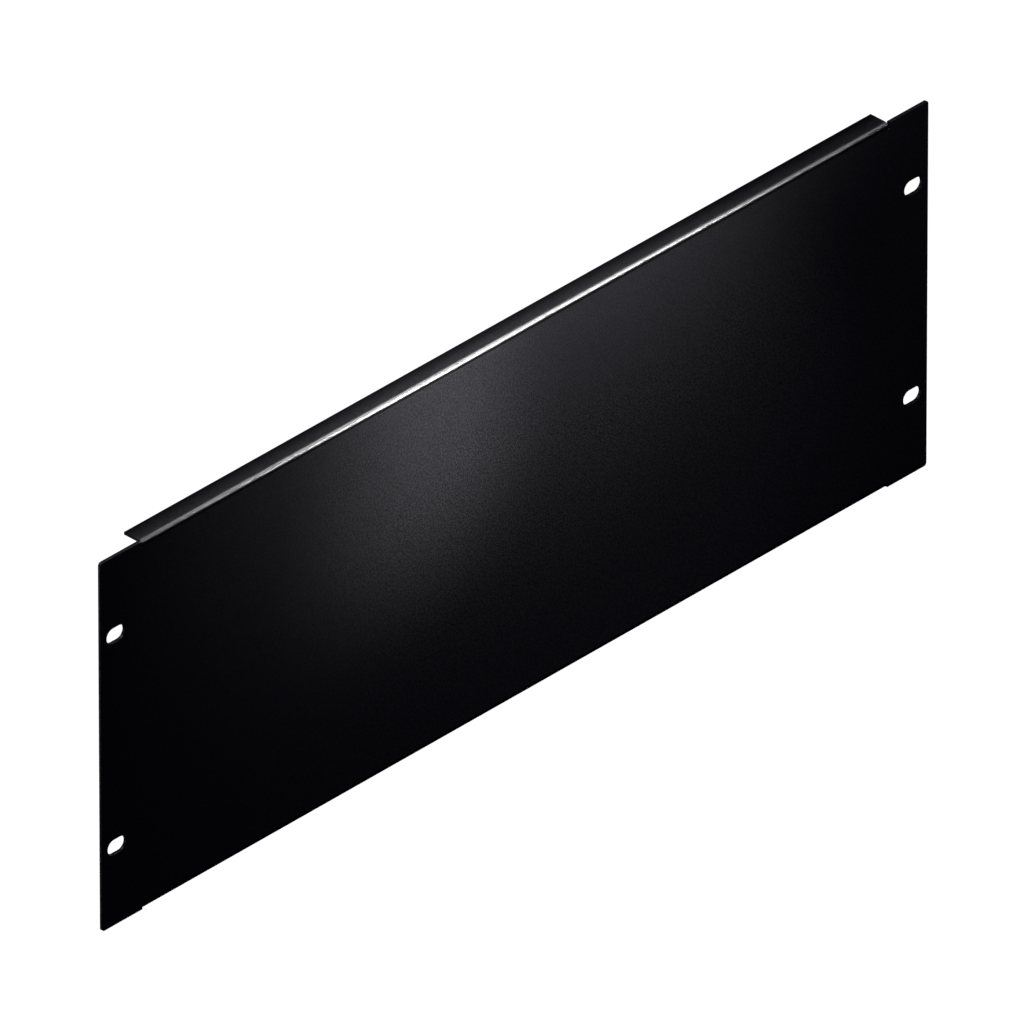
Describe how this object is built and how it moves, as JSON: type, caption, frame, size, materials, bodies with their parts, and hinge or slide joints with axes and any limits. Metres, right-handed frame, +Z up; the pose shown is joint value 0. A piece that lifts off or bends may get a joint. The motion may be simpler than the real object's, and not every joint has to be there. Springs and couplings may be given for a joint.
{
  "type": "rack blanking panel",
  "caption": "Flat black front panel with slotted ears, and flanges folded back along its long edges, that closes an unused space in an equipment rack.",
  "frame": {"origin": "middle of the rack slots, on the plate's rear face, which seats on the rack rails", "axes": "+X to the right as seen from the front, -Y out of the front, +Y into the rack, +Z up"},
  "size_m": [0.4826, 0.01, 0.177],
  "materials": {
    "black_powder_coat": "satin black powder coat with a fine grain over steel sheet"
  },
  "bodies": {
    "root": {"blanking_panel": "black_powder_coat"}
  },
  "joints": []
}
